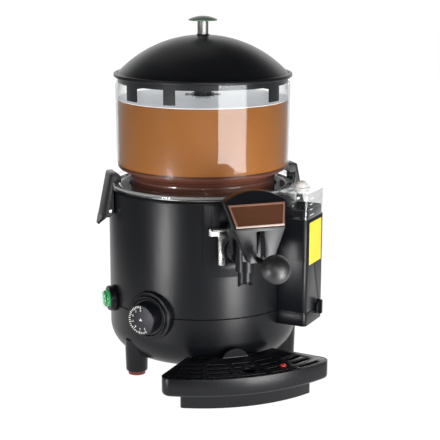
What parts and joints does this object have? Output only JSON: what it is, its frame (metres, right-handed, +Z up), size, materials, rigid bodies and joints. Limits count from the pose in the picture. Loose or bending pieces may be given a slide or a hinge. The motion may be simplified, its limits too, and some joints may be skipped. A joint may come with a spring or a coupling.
{
  "type": "hot chocolate dispenser",
  "caption": "Counter-top hot chocolate dispenser: black round heated base, clear bowl with domed lid and stirrer, lever tap, drip tray, dial and side water box.",
  "frame": {"origin": "on the machine's upright axis, in the plane of the counter it stands on", "axes": "+Z up along the axis of the bowl, -Y out through the tap, +X to the right of someone facing the tap"},
  "size_m": [0.2926, 0.4155, 0.466],
  "materials": {
    "satin_plastic": "satin",
    "gloss_black": "gloss",
    "knob_plastic": "gloss",
    "clear_plastic": "clear",
    "white_plastic": "gloss",
    "red_plastic": "gloss",
    "green_lens": "gloss",
    "badge_plastic": "gloss",
    "rubber": "matte",
    "foot_rubber": "matte",
    "steel": "brushed",
    "chrome": "polished",
    "motor_metal": "satin"
  },
  "bodies": {
    "housing": {"badge_plate": "badge_plastic", "bain_marie_pan": "steel", "base_plate": "steel", "base_screws": "steel", "bowl": "clear_plastic", "bowl_gasket": "rubber", "cable_gland": "satin_plastic", "clip_bracket_left": "satin_plastic", "clip_bracket_right": "satin_plastic", "clip_pin_left": "steel", "clip_pin_right": "steel", "dial_bezel": "satin_plastic", "foot_pads": "foot_rubber", "gear_motor": "motor_metal", "heating_element": "steel", "leg_left": "satin_plastic", "leg_rear": "satin_plastic", "leg_right": "satin_plastic", "lever_pin": "steel", "link_pipe": "steel", "lower_shell": "satin_plastic", "motor_bracket": "steel", "port_seal": "rubber", "switch_bezel": "satin_plastic", "switch_body": "satin_plastic", "tap_body": "satin_plastic", "tap_panel": "satin_plastic", "tap_shield": "satin_plastic", "terminal_block": "white_plastic", "thermostat_body": "motor_metal", "upper_shell": "satin_plastic", "valve_cap": "satin_plastic", "water_box": "satin_plastic", "water_window": "clear_plastic"},
    "lid": {"lid_dome": "satin_plastic", "lid_stud": "steel", "lid_knob": "knob_plastic"},
    "stirrer": {"drive_shaft": "steel", "stirrer_sleeve": "gloss_black", "stirrer_star": "white_plastic", "stirrer_paddle": "gloss_black"},
    "clip_left": {"clip_left": "satin_plastic"},
    "clip_right": {"clip_right": "satin_plastic"},
    "dial": {"dial_knob": "satin_plastic", "dial_spindle": "steel"},
    "power_button": {"switch_button": "green_lens", "switch_cap": "clear_plastic"},
    "tap_lever": {"tap_lever": "satin_plastic", "ball_knob": "gloss_black"},
    "tap_valve": {"valve_plunger": "steel", "valve_seal": "rubber"},
    "tap_fork": {"tap_fork": "chrome"},
    "drip_tray": {"drip_tray": "satin_plastic"},
    "tray_grille": {"tray_grille": "satin_plastic"},
    "tray_float": {"tray_float": "red_plastic"},
    "filler_cap": {"filler_cap": "white_plastic"},
    "drain_plug": {"drain_plug": "satin_plastic"}
  },
  "joints": [
    {"name": "lid_lift", "type": "slide", "parent": "housing", "child": "lid", "axis": [0, 0, 1], "range_m": [0, 0.12]},
    {"name": "stirrer_spin", "type": "hinge", "parent": "housing", "child": "stirrer", "pos_m": [0, 0, 0.17], "axis": [0, 0, 1], "continuous": true},
    {"name": "clip_left_open", "type": "hinge", "parent": "housing", "child": "clip_left", "pos_m": [-0.132, 0, 0.2176], "axis": [0, -1, 0], "range_deg": [0, 35]},
    {"name": "clip_right_open", "type": "hinge", "parent": "housing", "child": "clip_right", "pos_m": [0.132, 0, 0.2176], "axis": [0, 1, 0], "range_deg": [0, 35]},
    {"name": "dial_turn", "type": "hinge", "parent": "housing", "child": "dial", "pos_m": [-0.09652, -0.08099, 0.0915], "axis": [0.766, 0.6428, 0], "range_deg": [0, 270]},
    {"name": "power_press", "type": "slide", "parent": "housing", "child": "power_button", "axis": [0.9994, 0.0349, 0], "range_m": [0, 0.003], "stiffness_N_per_m": 300},
    {"name": "lever_lift", "type": "hinge", "parent": "housing", "child": "tap_lever", "pos_m": [0, -0.158, 0.215], "axis": [-1, 0, 0], "range_deg": [0, 25]},
    {"name": "valve_lift", "type": "slide", "parent": "housing", "child": "tap_valve", "axis": [0, 0, 1], "range_m": [0, 0.005]},
    {"name": "fork_pull", "type": "slide", "parent": "housing", "child": "tap_fork", "axis": [0, 0, 1], "range_m": [0, 0.045]},
    {"name": "tray_pull", "type": "slide", "parent": "housing", "child": "drip_tray", "axis": [0, -1, 0], "range_m": [0, 0.15]},
    {"name": "grille_lift", "type": "slide", "parent": "drip_tray", "child": "tray_grille", "axis": [0, 0, 1], "range_m": [0, 0.06]},
    {"name": "float_rise", "type": "slide", "parent": "drip_tray", "child": "tray_float", "axis": [0, 0, 1], "range_m": [0, 0.008]},
    {"name": "filler_lift", "type": "slide", "parent": "housing", "child": "filler_cap", "axis": [0, 0, 1], "range_m": [0, 0.02]},
    {"name": "drain_turn", "type": "hinge", "parent": "housing", "child": "drain_plug", "pos_m": [0.1248, -0.10571, 0.0905], "axis": [-0.7071, 0.7071, 0], "range_deg": [0, 90]}
  ],
  "couplings": [
    {"joint": "valve_lift", "follows": "lever_lift", "m_per_rad": 0.011}
  ]
}
